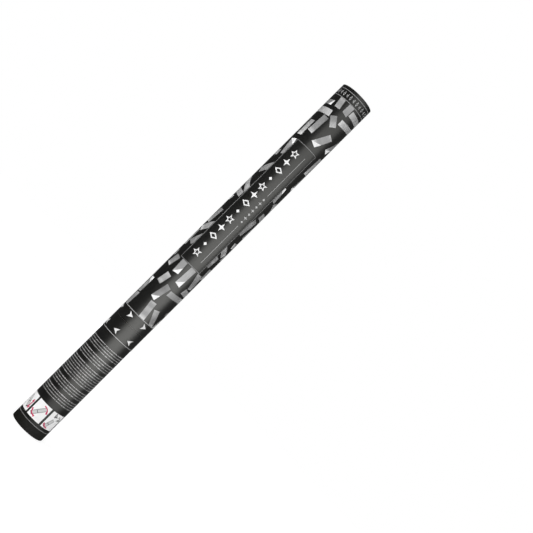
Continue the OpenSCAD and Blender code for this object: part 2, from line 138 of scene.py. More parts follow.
def settle(piece, name):
    # the object goes to the origin, and its place goes into its mesh
    onlySelect(piece)
    bpy.ops.object.transform_apply(location=True, rotation=True, scale=True)
    piece.name = name
    piece.data.name = name
    return piece


def copyOf(template, matrix):
    piece = template.copy()
    piece.data = template.data.copy()
    bpy.context.collection.objects.link(piece)
    piece.data.transform(matrix)
    return piece


def joined(pieces, name):
    startObject()
    for piece in pieces:
        piece.select_set(True)
    bpy.context.view_layer.objects.active = pieces[0]
    if len(pieces) > 1:
        bpy.ops.object.join()
    piece = bpy.context.object
    piece.name = name
    piece.data.name = name
    return piece


def discard(*pieces):
    for piece in pieces:
        bpy.data.objects.remove(piece)


def addCylinder(name, sides, radius, low, high, ends):
    startObject()
    bpy.ops.mesh.primitive_cylinder_add(vertices=sides, radius=radius, depth=high - low, end_fill_type=ends,
                                        location=(0, 0, (low + high) / 2))
    return settle(bpy.context.object, name)


def applyModifiers(piece):
    onlySelect(piece)
    for modifier in list(piece.modifiers):
        bpy.ops.object.modifier_apply(modifier=modifier.name)


def thicken(piece, thickness, offset=-1):
    wall = piece.modifiers.new("wall", "SOLIDIFY")
    wall.thickness = thickness
    wall.offset = offset
    applyModifiers(piece)
    return piece


def smooth(piece, degrees):
    onlySelect(piece)
    bpy.ops.object.shade_smooth_by_angle(angle=math.radians(degrees))


def corners(piece):
    place = np.zeros(len(piece.data.vertices) * 3)
    piece.data.vertices.foreach_get("co", place)
    return place.reshape(-1, 3)


def moveCorners(piece, place):
    piece.data.vertices.foreach_set("co", place.reshape(-1))
    piece.data.update()


def giveTone(piece, tone):
    # tone is one grey, or one for each vertex; the ink reads it
    count = len(piece.data.vertices)
    layer = piece.data.attributes.get("tone") or piece.data.attributes.new("tone", "FLOAT", "POINT")
    values = np.full(count, tone) if np.isscalar(tone) else np.asarray(tone)
    layer.data.foreach_set("value", values.astype(np.float32))
    return piece


def finishPiece(piece, body, slot, material, *replaced):
    piece.data.materials.clear()
    piece.data.materials.append(material)
    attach(piece, body)
    if replaced:
        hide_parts(*replaced)


# Flat artwork: drawn in the XZ plane as it is printed, facing the viewer, and then wrapped

def around(degrees):
    # distance round the label from the middle of its front, towards +X
    return math.radians(degrees) * tubeRadius


def placing(across, up, width=1.0, height=1.0, turn=0.0):
    scale = Matrix.Diagonal((width, 1, height, 1))
    return Matrix.Translation((across, 0, up)) @ Matrix.Rotation(turn, 4, "Y") @ scale


def stamp(shape, tone, *place):
    # a copy of the shape in its own grey, placed as placing() says
    return giveTone(copyOf(shape, placing(*place)), tone)


def faceViewer(piece):
    editAll(piece)
    bpy.ops.mesh.normals_make_consistent(inside=False)
    piece = leaveEdit()
    if sum(face.normal.y * face.area for face in piece.data.polygons) > 0:
        editAll(piece)
        bpy.ops.mesh.flip_normals()
        leaveEdit()
    return piece


def drawFlat(add, name, width=1, height=1, **shape):
    # a flat primitive, turned upright to face the viewer
    startObject()
    add(rotation=(math.pi / 2, 0, 0), **shape)
    bpy.context.object.scale = (width, height, 1)
    return settle(bpy.context.object, name)


def flatSquare(rows=1):
    return drawFlat(bpy.ops.mesh.primitive_grid_add, "flat_square", x_subdivisions=1,
                    y_subdivisions=rows, size=1)


def flatFrame(width, height, stroke):
    # an open rectangle, inset from its outer edge
    editAll(drawFlat(bpy.ops.mesh.primitive_plane_add, "flat_frame", width, height, size=1))
    bpy.ops.mesh.inset(thickness=stroke, depth=0)
    bpy.ops.mesh.delete(type="FACE")
    return leaveEdit()


def flatStar(points, waist, hollow=0.0):
    # a star or a lozenge of radius 1; hollow is the share that is left open
    piece = drawFlat(bpy.ops.mesh.primitive_circle_add, "flat_star", vertices=2 * points, radius=1,
                     fill_type="NOTHING" if hollow else "TRIFAN")
    step = math.pi / points

    def betweenPoints(vertex):
        return vertex.co.length > 0.5 and round(math.atan2(vertex.co.x, vertex.co.z) / step) % 2 == 1

    editSome(piece, "VERT", betweenPoints)
    bpy.ops.transform.resize(value=(waist, waist, waist), center_override=(0, 0, 0))
    if hollow:
        bpy.ops.mesh.select_all(action="SELECT")
        bpy.ops.mesh.extrude_edges_move()
        bpy.ops.transform.resize(value=(hollow, hollow, hollow), center_override=(0, 0, 0))
    return faceViewer(leaveEdit())


def flatArrow(notch):
    # an arrowhead two units long and wide, with its tip up and a notched back
    piece = drawFlat(bpy.ops.mesh.primitive_circle_add, "flat_arrow", vertices=4, radius=1,
                     fill_type="TRIFAN")
    editSome(piece, "VERT", lambda vertex: abs(vertex.co.x) > 0.5)
    bpy.ops.transform.translate(value=(0, 0, -1))
    leaveEdit()
    editSome(piece, "VERT", lambda vertex: abs(vertex.co.x) < 0.5 and -1.1 < vertex.co.z < -0.5)
    bpy.ops.transform.translate(value=(0, 0, notch))
    return faceViewer(leaveEdit())


def flatArc(inner, outer, fromDegrees, toDegrees):
    # a ribbon spun about the middle; 0 degrees is up, and it grows clockwise
    piece = drawFlat(bpy.ops.mesh.primitive_plane_add, "flat_arc", size=1)
    editSome(piece, "VERT", lambda vertex: vertex.co.x > 0)
    bpy.ops.mesh.delete(type="VERT")
    leaveEdit()
    for vertex in piece.data.vertices:
        vertex.co = (0, 0, outer if vertex.co.z > 0 else inner)
    editAll(piece)
    bpy.ops.transform.rotate(value=math.radians(fromDegrees), orient_axis="Y", center_override=(0, 0, 0))
    sweep = toDegrees - fromDegrees
    bpy.ops.mesh.spin(steps=max(4, round(abs(sweep) / 12)), angle=math.radians(sweep), center=(0, 0, 0),
                      axis=(0, 1, 0))
    return faceViewer(leaveEdit())


def cutArt(piece, point, normal):
    # takes away what lies past the plane
    editAll(piece)
    bpy.ops.mesh.bisect(plane_co=point, plane_no=normal, clear_outer=True)
    return leaveEdit()


def wrapArt(pieces, name, radius, thickness):
    # cuts the sheet into narrow upright slices, rolls it round the tube and gives it its thickness
    piece = joined(pieces, name)
    across = corners(piece)[:, 0]
    editAll(piece)
    cut = math.floor(across.min() / layers["slice"]) + 1
    while cut * layers["slice"] < across.max():
        bpy.ops.mesh.select_all(action="SELECT")
        bpy.ops.mesh.bisect(plane_co=(cut * layers["slice"], 0, 0), plane_no=(1, 0, 0))
        cut += 1
    leaveEdit()
    place = corners(piece)
    turn = place[:, 0] / tubeRadius
    moveCorners(piece, np.stack([radius * np.sin(turn), -radius * np.cos(turn), place[:, 2]], axis=1))
    editAll(piece)
    bpy.ops.mesh.remove_doubles(threshold=0.002 * mm)
    leaveEdit()
    return thicken(piece, thickness)


# Node groups that several finishes share

def feed(tree, node, inputs):
    # each input takes a link or a plain value
    for label, value in inputs.items():
        if isinstance(value, bpy.types.NodeSocket):
            tree.links.new(value, node.inputs[label])
        elif value is not None:
            node.inputs[label].default_value = value
    return node


def addNode(tree, kind, inputs, **settings):
    node = tree.nodes.new("ShaderNode" + kind)
    for label, value in settings.items():
        setattr(node, label, value)
    return feed(tree, node, inputs)


def addMath(tree, operation, *values):
    return addNode(tree, "Math", dict(enumerate(values)), operation=operation).outputs[0]


def addNoise(tree, vector, scale, detail=2.0, roughness=0.5):
    inputs = {"Vector": vector, "Scale": scale, "Detail": detail, "Roughness": roughness}
    return addNode(tree, "TexNoise", inputs).outputs["Fac"]


def objectPlace(tree, stretch=(1, 1, 1)):
    # object coordinates, drawn out along an axis where the grain runs
    place = addNode(tree, "TexCoord", {}).outputs["Object"]
    return addNode(tree, "Mapping", {"Vector": place, "Scale": stretch}).outputs["Vector"]


def splitPlace(tree, place):
    return addNode(tree, "SeparateXYZ", {0: place}).outputs


def newGroup(name, **inputs):
    group = bpy.data.node_groups.new(name, "ShaderNodeTree")
    for label, value in inputs.items():
        socket = group.interface.new_socket(name=label, in_out="INPUT", socket_type="NodeSocketFloat")
        socket.default_value = value
    return group, group.nodes.new("NodeGroupInput").outputs


def giveOutputs(group, **outputs):
    for label in outputs:
        group.interface.new_socket(name=label, in_out="OUTPUT", socket_type="NodeSocketFloat")
    feed(group, group.nodes.new("NodeGroupOutput"), outputs)
    return group


def makeFineGrain():
    # even grain for moulded, printed and rubber surfaces, and slow patches of handling
    group, given = newGroup("fineGrain", Grain=2500.0, Patch=30.0)
    place = objectPlace(group)
    return giveOutputs(group, Height=addNoise(group, place, given["Grain"], 3.0, 0.6),
                       Patches=addNoise(group, place, given["Patch"], 4.0, 0.55))


def makeSpiralWind():
    # the joint of a spiral-wound card tube, as a line and a soft ridge beside it
    group, given = newGroup("spiralWind", Pitch=0.07, Width=0.02)
    place = splitPlace(group, objectPlace(group))
    turns = addMath(group, "DIVIDE", addMath(group, "ARCTAN2", place["Y"], place["X"]), 2 * math.pi)
    climb = addMath(group, "DIVIDE", place["Z"], given["Pitch"])
    saw = addMath(group, "FRACT", addMath(group, "ADD", climb, turns))
    gap = addMath(group, "ABSOLUTE", addMath(group, "SUBTRACT", saw, 0.5))
    ridge = addMath(group, "SUBTRACT", 1.0, addMath(group, "MULTIPLY", gap, 8.0))
    return giveOutputs(group, Line=addMath(group, "LESS_THAN", gap, given["Width"]),
                       Ridge=addMath(group, "MAXIMUM", ridge, 0.0))


def makeDrawnLines():
    # fine lines along the tube's axis or round it, as drawing, turning or brushing leaves
    group, given = newGroup("drawnLines", Fineness=900.0)
    across, along = objectPlace(group, (0.04, 0.04, 1)), objectPlace(group, (1, 1, 0.03))
    return giveOutputs(group, Round=addNoise(group, across, given["Fineness"], 4.0),
                       Along=addNoise(group, along, given["Fineness"], 4.0))


def makeSpecks():
    # sparse dust and lint
    group, given = newGroup("specks", Density=900.0, Share=0.72)
    fine = addNoise(group, objectPlace(group), given["Density"], 1.0)
    broad = addMath(group, "ADD", addNoise(group, objectPlace(group), 35.0, 2.0), 0.5)
    both = addMath(group, "MULTIPLY", fine, broad)
    return giveOutputs(group, Mask=addMath(group, "GREATER_THAN", both, given["Share"]))


def makeEdgeWear():
    # rubbed spots that thin out away from two edges, which are given by their heights
    group, given = newGroup("edgeWear", Low=0.0, High=1.0, Reach=0.0015, Grain=900.0)
    place = objectPlace(group)
    height = splitPlace(group, place)["Z"]
    low, high = [addMath(group, "ABSOLUTE", addMath(group, "SUBTRACT", height, given[edge]))
                 for edge in ("Low", "High")]
    away = addMath(group, "DIVIDE", addMath(group, "MINIMUM", low, high), given["Reach"])
    near = addMath(group, "MAXIMUM", addMath(group, "SUBTRACT", 1.0, away), 0.0)
    spots = addMath(group, "MULTIPLY", near, addNoise(group, place, given["Grain"], 3.0, 0.6))
    broad = addMath(group, "ADD", addNoise(group, place, 60.0, 2.0), 0.45)
    worn = addMath(group, "MULTIPLY", spots, broad)
    return giveOutputs(group, Mask=addMath(group, "GREATER_THAN", worn, 0.44))


edgeWear = makeEdgeWear()
fineGrain = makeFineGrain()
spiralWind = makeSpiralWind()
drawnLines = makeDrawnLines()
specks = makeSpecks()
print("shared finishes ready")


# Materials

def newMaterial(name, colour, roughness, metallic=0.0, specular=0.5):
    material = bpy.data.materials.new(name)
    material.use_nodes = True
    tree = material.node_tree
    inputs = {"Base Color": (*colour, 1), "Roughness": roughness, "Metallic": metallic,
              "Specular IOR Level": specular}
    return material, tree, feed(tree, tree.nodes["Principled BSDF"], inputs)


def addGroup(tree, group, **values):
    return addNode(tree, "Group", values, node_tree=group).outputs


def addBump(tree, shader, height, depth, strength=1.0, under=None):
    inputs = {"Strength": strength, "Distance": depth, "Height": height, "Normal": under}
    normal = addNode(tree, "Bump", inputs).outputs["Normal"]
    feed(tree, shader, {"Normal": normal})
    return normal


def addRange(tree, value, low, high, fromLow=0.0, fromHigh=1.0, style="LINEAR"):
    inputs = {"Value": value, "From Min": fromLow, "From Max": fromHigh, "To Min": low, "To Max": high}
    return addNode(tree, "MapRange", inputs, interpolation_type=style).outputs["Result"]


def mixColours(tree, factor, first, second):
    # the colours of a Mix node are its sockets 6 and 7, and its output 2
    colours = [(*value, 1) if isinstance(value, tuple) else value for value in (first, second)]
    return addNode(tree, "Mix", {0: factor, 6: colours[0], 7: colours[1]}, data_type="RGBA").outputs[2]


def addMarks(tree, mask, strength, colour, marks):
    # dust, wear or glue in its own colour over another
    return mixColours(tree, addMath(tree, "MULTIPLY", mask, strength), colour, marks)


labelFinish = {
    "black": (0.0022, 0.0022, 0.0021),
    "blackWorn": (0.0036, 0.0036, 0.0034),
    "roughness": 0.37,
    "shine": 0.80,
    "shineTint": (1.0, 1.0, 0.96),
    "grain": 1400.0,
    "grainDepth": 0.004 * mm,
    "core": (0.34, 0.33, 0.31),
    "wear": 0.045,
    "wearReach": 0.5 * mm,
    "windPitch": 0.085,
    "windDepth": 0.03 * mm,
}


def makeLabelPaper():
    look = labelFinish
    rough = look["roughness"]
    material, tree, shader = newMaterial("label_black", look["black"], rough, specular=look["shine"])
    grain = addGroup(tree, fineGrain, Grain=look["grain"], Patch=22.0)
    wind = addGroup(tree, spiralWind, Pitch=look["windPitch"])
    dust = addGroup(tree, specks, Density=1300.0, Share=0.80)
    colour = mixColours(tree, grain["Patches"], look["black"], look["blackWorn"])
    colour = addMarks(tree, dust["Mask"], 0.04, colour, (0.4, 0.4, 0.4))
    for low, high in ((labelBottom, labelTop), (seamLow, seamHigh)):
        wear = addGroup(tree, edgeWear, Low=low, High=high, Reach=look["wearReach"])
        colour = addMarks(tree, wear["Mask"], look["wear"], colour, look["core"])
    feed(tree, shader, {"Base Color": colour, "Specular Tint": (*look["shineTint"], 1),
                        "Roughness": addRange(tree, grain["Patches"], rough - 0.05, rough + 0.05)})
    under = addBump(tree, shader, wind["Ridge"], look["windDepth"], 0.6)
    addBump(tree, shader, grain["Height"], look["grainDepth"], 0.5, under)
    return material


def makeInk(name, low, high):
    # ink whose grey comes from the tone of each printed shape
    look = labelFinish
    material, tree, shader = newMaterial(name, high, look["roughness"], specular=look["shine"])
    tone = addNode(tree, "Attribute", {}, attribute_name="tone").outputs["Fac"]
    grain = addGroup(tree, fineGrain, Grain=look["grain"], Patch=60.0)
    uneven = addRange(tree, addGroup(tree, drawnLines, Fineness=1500.0)["Along"], -0.05, 0.05)
    value = addMath(tree, "MAXIMUM", addMath(tree, "ADD", tone, uneven), 0.0)
    feed(tree, shader, {"Base Color": mixColours(tree, value, low, high)})
    addBump(tree, shader, grain["Height"], look["grainDepth"], 0.5)
    return material


cardFinish = {
    "colour": (0.36, 0.25, 0.155),
    "fibres": ((0.27, 0.185, 0.11), (0.44, 0.32, 0.205), (0.50, 0.385, 0.26)),
    "glue": (0.16, 0.10, 0.055),
    "joint": (0.14, 0.09, 0.05),
    "jointPitch": 0.060,
    "ply": 0.4 * mm,
}


def makeCard():
    # grey-brown wound card: fibres, the spiral joint and the plies on the cut ends
    look = cardFinish
    material, tree, shader = newMaterial("wound_card", look["colour"], 0.85, specular=0.3)
    grain = addGroup(tree, fineGrain, Grain=1800.0, Patch=90.0)
    wind = addGroup(tree, spiralWind, Pitch=look["jointPitch"], Width=0.006)
    lines = addGroup(tree, drawnLines, Fineness=700.0)
    dark, light, pale = look["fibres"]
    fibres = mixColours(tree, grain["Patches"], dark, light)
    fibres = mixColours(tree, addRange(tree, lines["Round"], 0.0, 0.5), fibres, pale)
    place = splitPlace(tree, addNode(tree, "TexCoord", {}).outputs["Object"])
    squares = [addMath(tree, "POWER", place[axis], 2.0) for axis in ("X", "Y")]
    radius = addMath(tree, "SQRT", addMath(tree, "ADD", *squares))
    wave = addMath(tree, "SINE", addMath(tree, "MULTIPLY", radius, 2 * math.pi / look["ply"]))
    fibres = addMarks(tree, addMath(tree, "GREATER_THAN", wave, 0.55), 0.35, fibres, look["glue"])
    fibres = addMarks(tree, wind["Line"], 0.6, fibres, look["joint"])
    feed(tree, shader, {"Base Color": fibres})
    addBump(tree, shader, grain["Height"], 0.03 * mm, 0.7)
    return material


def makePlastic(name, dark, light, roughness, grainDepth, specular=0.5, rims=None):
    # moulded plastic with a fine spark grain and slow differences in its shine; rims are two worn heights
    material, tree, shader = newMaterial(name, light, roughness, specular=specular)
    grain = addGroup(tree, fineGrain, Grain=2200.0, Patch=45.0)
    dust = addGroup(tree, specks, Density=1100.0, Share=0.78)
    colour = mixColours(tree, grain["Patches"], dark, light)
    colour = addMarks(tree, dust["Mask"], 0.04, colour, (0.45, 0.44, 0.42))
    if rims:
        wear = addGroup(tree, edgeWear, Low=rims[0], High=rims[1], Reach=1.4 * mm, Grain=600.0)
        colour = addMarks(tree, wear["Mask"], 0.5, colour, (0.030, 0.030, 0.028))
    feed(tree, shader, {"Base Color": colour,
                        "Roughness": addRange(tree, grain["Patches"], roughness - 0.07, roughness + 0.07)})
    addBump(tree, shader, grain["Height"], grainDepth, 0.6)
    return material


def makeMetal(name, dark, light, roughness, direction, lineDepth):
    # drawn or turned metal, with its lines round the axis or along it
    material, tree, shader = newMaterial(name, light, roughness, metallic=0.85)
    lines = addGroup(tree, drawnLines, Fineness=1200.0)[direction]
    grain = addGroup(tree, fineGrain, Grain=3000.0, Patch=60.0)
    feed(tree, shader, {"Base Color": mixColours(tree, lines, dark, light),
                        "Roughness": addRange(tree, grain["Patches"], roughness - 0.06, roughness + 0.08)})
    addBump(tree, shader, lines, lineDepth, 0.5)
    return material


def makeFoil():
    # metallised film: each strip a little lighter or darker, smooth with long soft creases
    material, tree, shader = newMaterial("foil_silver", (0.70, 0.71, 0.72), 0.26, metallic=0.7)
    tone = addNode(tree, "Attribute", {}, attribute_name="tone").outputs["Fac"]
    wear = addGroup(tree, fineGrain, Grain=5000.0, Patch=60.0)
    crease = addNoise(tree, objectPlace(tree, (1, 1, 0.35)), 110.0, 0.0)
    feed(tree, shader, {"Base Color": mixColours(tree, tone, (0.30, 0.31, 0.33), (0.64, 0.64, 0.65)),
                        "Roughness": addRange(tree, wear["Patches"], 0.26, 0.38)})
    addBump(tree, shader, crease, 3.0 * mm, 1.0)
    return material


def makeFoam():
    # closed-cell foam: small cells and a skin that scatters light
    material, tree, shader = newMaterial("foam_white", (0.80, 0.80, 0.77), 0.9, specular=0.3)
    grain = addGroup(tree, fineGrain, Grain=900.0, Patch=70.0)
    cells = addNode(tree, "TexVoronoi", {"Vector": objectPlace(tree), "Scale": 900.0}).outputs["Distance"]
    skin = mixColours(tree, grain["Patches"], (0.70, 0.70, 0.66), (0.86, 0.86, 0.83))
    feed(tree, shader, {"Base Color": skin})
    under = addBump(tree, shader, cells, 0.15 * mm, 0.8)
    addBump(tree, shader, grain["Height"], 0.05 * mm, 0.4, under)
    return material


labelPaper = makeLabelPaper()
silverInk = makeInk("ink_silver", (0.003, 0.003, 0.003), (0.86, 0.86, 0.86))
redInk = makeInk("ink_red", (0.16, 0.004, 0.02), (0.58, 0.018, 0.105))
card = makeCard()
capPlastic = makePlastic("plastic_black", (0.004, 0.004, 0.003), (0.007, 0.007, 0.0055), 0.64, 0.015 * mm,
                         0.34, (cadBox[0][2], cadBox[1][2]))
naturalPlastic = makePlastic("plastic_natural", (0.66, 0.64, 0.57), (0.74, 0.72, 0.66), 0.45, 0.006 * mm)
bluePlastic = makePlastic("plastic_blue", (0.030, 0.085, 0.29), (0.045, 0.12, 0.37), 0.42, 0.006 * mm)
redPlastic = makePlastic("plastic_red", (0.48, 0.030, 0.022), (0.58, 0.045, 0.032), 0.40, 0.006 * mm)
rubber = makePlastic("rubber_black", (0.012, 0.012, 0.012), (0.022, 0.022, 0.022), 0.70, 0.010 * mm, 0.35)
drawnAluminium = makeMetal("aluminium_drawn", (0.50, 0.51, 0.53), (0.72, 0.73, 0.75), 0.36, "Along",
                           0.010 * mm)
turnedAluminium = makeMetal("aluminium_turned", (0.66, 0.65, 0.62), (0.86, 0.85, 0.82), 0.24, "Round",
                            0.012 * mm)
steel = makeMetal("steel_polished", (0.50, 0.50, 0.52), (0.66, 0.66, 0.68), 0.14, "Round", 0.003 * mm)
foil = makeFoil()
foam = makeFoam()

print("materials ready")


# Rigid pieces: the CAD shape, smoothed, with its sharp corners softened as moulding and turning leave them

rigid = (
    # slot, material, and for each node the width of its softened corner
    ("cap_plastic", capPlastic, {"base_cap": 0.30 * mm, "muzzle_cap": 0.20 * mm}),
    ("tube_card", card, {"handle_tube": 0.10 * mm, "barrel_tube": 0.10 * mm, "wad_card": 0.08 * mm}),
    ("bottle_aluminium", drawnAluminium, {"air_bottle": 0.10 * mm}),
    ("bottle_aluminium", turnedAluminium, {"crimp_collar": 0.08 * mm}),
    ("seat_aluminium", turnedAluminium, {"valve_seat": 0.10 * mm}),
    ("seal_rubber", rubber, {"fill_plug": 0.15 * mm, "neck_seal": 0, "plunger_seal": 0}),
    ("inner_plastic", naturalPlastic,
     {"neck_holder": 0, "valve_tower": 0, "coupling_sleeve": 0.15 * mm, "wad_support": 0}),
    ("ring_plastic", bluePlastic, {"release_ring": 0}),
    ("plunger_plastic", redPlastic, {"plunger": 0.12 * mm}),
    ("ball_steel", steel, {"snap_ring": 0, "lock_ball_1": 0, "lock_ball_2": 0, "lock_ball_3": 0}),
)
# in degrees: faces that count as flat, corners that shade smooth or stay sharp, corners that are softened
shaping = {"flat": 0.2, "smooth": 34, "smoothSharp": 22, "corner": 40}


def shapeRigid(nodeName, slot, material, corner):
    piece = bpy.data.objects.new(nodeName + "_finished", nodes[nodeName].data.copy())
    bpy.context.collection.objects.link(piece)
    editAll(piece)
    bpy.ops.mesh.remove_doubles(threshold=0.001 * mm)
    bpy.ops.mesh.dissolve_limited(angle_limit=math.radians(shaping["flat"]))
    leaveEdit()
    smooth(piece, shaping["smooth" if corner else "smoothSharp"])
    if corner:
        soften = piece.modifiers.new("corners", "BEVEL")
        soften.width = corner
        soften.segments = 2
        soften.limit_method = "ANGLE"
        soften.angle_limit = math.radians(shaping["corner"])
        soften.harden_normals = True
    applyModifiers(piece)
    finishPiece(piece, nodes[nodeName]["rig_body"], slot, material, nodeName)


for slotName, finish, cornerWidths in rigid:
    for nodeName, cornerWidth in cornerWidths.items():
        shapeRigid(nodeName, slotName, finish, cornerWidth)
print("rigid pieces shaped")


# Label paper: a sleeve on each length of the tube, lapped over itself at the back

paper = {
    "segments": 360,
    "lapWidth": 7 * mm,
    "edgeWidth": 0.14 * mm,
    "edgeTone": 0.30,
    "overhang": 0.22 * mm,
    "footBand": 0.7 * mm,
    "glueGap": 0.01 * mm,
}

# the square that most printed marks are copied from
square = flatSquare()


def paperSleeve(name, low, high, body, node):
    piece = addCylinder(name, paper["segments"], layers["paper"], low, high, "NOTHING")
    thicken(piece, layers["paper"] - cardRadius - paper["glueGap"])
    smooth(piece, 30)
    finishPiece(piece, body, "label_print", labelPaper, node)


def printArt(marks, name, layer, body, ink):
    piece = wrapArt(marks, name, layers[layer], layers["inkThickness"])
    finishPiece(piece, body, "label_print", ink)


def paperLap(name, low, high, body):
    # the free edge of the wrap, with the paper's pale core along its cut
    middle = math.pi * tubeRadius
    flap = copyOf(square, placing(middle, (low + high) / 2, paper["lapWidth"], high - low))
    printArt([flap], name, "lap", body, labelPaper)
    side = middle + paper["lapWidth"] / 2 + paper["edgeWidth"] / 2
    core = stamp(square, paper["edgeTone"], side, (low + high) / 2, paper["edgeWidth"], high - low)
    printArt([core], name + "_edge", "edge", body, silverInk)


paperSleeve("handle_wrap", labelBottom, seamLow + paper["overhang"], "handle", "handle_label")
paperSleeve("barrel_wrap", seamHigh - paper["overhang"], labelTop, "barrel", "barrel_label")
paperLap("handle_lap", labelBottom + paper["footBand"], seamLow + paper["overhang"], "handle")
paperLap("barrel_lap", seamHigh - paper["overhang"], labelTop, "barrel")
print("label paper wrapped")


# Print on the handle

handlePrint = {
    "panelLow": 17.6 * mm,
    "panelHigh": 42.9 * mm,
    "panelPitch": 56.0,
    "panelMiddle": -8.4,
    "panelTone": 0.97,
    "separator": 3.1 * mm,
    "ruleStart": 53.8 * mm,
    "rulePitch": 3.478 * mm,
    "ruleGroups": (4, 4, 8, 4, 4),
    "groupGap": 3.25 * mm,
    "ruleHeight": 0.95 * mm,
    "ruleHeightShare": (0.8, 1.1),
    "ruleReach": 167.0,
    "ruleStartInset": (0, 2),
    "ruleEndInset": (0, 4),
    "lastRuleInset": (20, 70),
    "lastRuleWeight": 1.25,
    "ruleLengths": (1.0 * mm, 1.5 * mm, 2.2 * mm, 3.0 * mm, 4.2 * mm),
    "ruleGaps": (0.45 * mm, 0.5 * mm, 1.0 * mm),
    "ruleTone": (0.30, 0.48),
    "ringHeight": 162.4 * mm,
    "ringWidth": 0.7 * mm,
    "ringTone": 0.42,
    "footTone": 0.26,
    "seed": 11,
}
arrowPrint = {
    "length": 7.8 * mm,
    "width": 8.4 * mm,
    "notch": 0.55,
    "middle": -18.4,
    "handleHeight": 169.2 * mm,
    "barrelHeight": 195.3 * mm,
    "tone": 0.84,
}
panelSteps = (-2, -1, 0, 1, 2, 3)
panelMiddles = [around(handlePrint["panelMiddle"] + handlePrint["panelPitch"] * step) for step in panelSteps]
panelHeight = handlePrint["panelHigh"] - handlePrint["panelLow"]


def upPanel(share):
    return handlePrint["panelLow"] + share * panelHeight


def whitePanels():
    width = around(handlePrint["panelPitch"]) - handlePrint["separator"]
    panels = [stamp(square, handlePrint["panelTone"], middle, upPanel(0.5), width, panelHeight)
              for middle in panelMiddles]
    printArt(panels, "handle_panels", "ink", "handle", silverInk)


sketch = {
    "tubeWidth": 5.2 * mm,
    "tubeLength": 19.5 * mm,
    "stroke": 0.9 * mm,
    "apart": 0.02 * mm,
    "arrowStroke": 2.1 * mm,
    "arrowHead": 2.4 * mm,
    "arrowNotch": 0.4,
    "arrowTone": 0.9,
    "turnRadius": 4.9 * mm,
    "turnFlatness": 0.62,
}
drawnHead = flatArrow(sketch["arrowNotch"])


def sketchTube(middle, height, lean, length):
    # a plain tube: its body, its two sides, the twist seam and the dark cap at its foot
    width, stroke, apart = sketch["tubeWidth"], sketch["stroke"], sketch["apart"]
    low, high = -0.5 * length, 0.5 * length
    seamFoot, seamHead = -0.12 * length - 0.6 * stroke, -0.12 * length + 0.6 * stroke
    side, body = (width - stroke) / 2, width - 2 * stroke
    turn = placing(middle, height, turn=math.radians(lean))
    lines = []
    for across, foot, head, wide, tone in (
            (0, low, seamFoot, body, 0.64),
            (0, seamFoot, seamHead, body, 0.12),
            (0, seamHead, high, body, 0.64),
            (-side, low, high, stroke, 0.28),
            (side, low, high, stroke, 0.28),
            (0, low - 2 * stroke, low, width, 0.05)):
        # each part is a little apart from the next, so that their tones stay apart too
        line = stamp(square, tone, across, (foot + head) / 2, wide - apart, head - foot - apart)
        line.data.transform(turn)
        lines.append(line)
    return lines


def turnArrow(middle, height, lean, fromDegrees, toDegrees, double):
    # a bent arrow round the sketch of the tube
    radius, stroke, size = sketch["turnRadius"], sketch["arrowStroke"], sketch["arrowHead"]
    parts = [flatArc(radius - stroke / 2, radius + stroke / 2, fromDegrees, toDegrees)]
    for degrees, way in [(toDegrees, 1)] + ([(fromDegrees, -1)] if double else []):
        angle = math.radians(degrees)
        along = angle + way * math.pi / 2
        tip = placing(radius * math.sin(angle), radius * math.cos(angle), size, size, along)
        parts.append(copyOf(drawnHead, tip))
    turn = placing(middle, height, turn=math.radians(lean)) @ placing(0, 0, 1, sketch["turnFlatness"])
    for part in parts:
        part.data.transform(turn)
        giveTone(part, sketch["arrowTone"])
    return parts


turning = {"aside": -0.1 * mm, "lean": 38.0, "reachShare": 0.36}


def sketchTurning(x):
    # the two lengths turn against each other
    across, up, lean = x + turning["aside"], upPanel(0.5), turning["lean"]
    reach = turning["reachShare"] * sketch["tubeLength"]
    sideways, upwards = reach * math.sin(math.radians(lean)), reach * math.cos(math.radians(lean))
    arrows = turnArrow(across - sideways, up - upwards, lean, 110, 250, True)
    arrows += turnArrow(across + sideways, up + upwards, lean, -75, 75, False)
    return sketchTube(across, up, lean, sketch["tubeLength"]), arrows


shot = {
    "aside": -3.4 * mm,
    "lean": 24,
    "heightShare": 0.36,
    "lengthShare": 0.66,
    "mouth": -3.0 * mm,
    "count": 15,
    "spread": (-34, 32),
    "reach": (8.8 * mm, 14.6 * mm),
    "strip": (1.3 * mm, 2.7 * mm),
    "tumble": (-0.9, 0.9),
    "tone": (0.02, 0.16),
}


def sketchShot(x):
    # strips leave the mouth
    lean, foot = shot["lean"], upPanel(shot["heightShare"])
    drawing = sketchTube(x + shot["aside"], foot, lean, shot["lengthShare"] * sketch["tubeLength"])
    for _ in range(shot["count"]):
        angle = random.uniform(*shot["spread"])
        reach = random.uniform(*shot["reach"])
        angle = math.radians(lean + angle)
        across, up = x + shot["mouth"] + reach * math.sin(angle), foot + reach * math.cos(angle)
        place = placing(across, up, *shot["strip"], angle + random.uniform(*shot["tumble"]))
        drawing.append(giveTone(copyOf(square, place), random.uniform(*shot["tone"])))
    return drawing, turnArrow(x - 4.2 * mm, upPanel(0.20), lean, 120, 240, False)


clearance = {
    "aside": 1.0 * mm,
    "lean": -32,
    "heightShare": 0.52,
    "lengthShare": 0.9,
    "arrowAside": 8.2 * mm,
    "arrowShare": 0.42,
    "arrowBar": (1.5 * mm, 9 * mm),
    "arrowReach": 5.6 * mm,
    "dashAside": -5.6 * mm,
    "dash": (4.2 * mm, 0.9 * mm),
    "dashShares": (0.20, 0.35, 0.50),
}


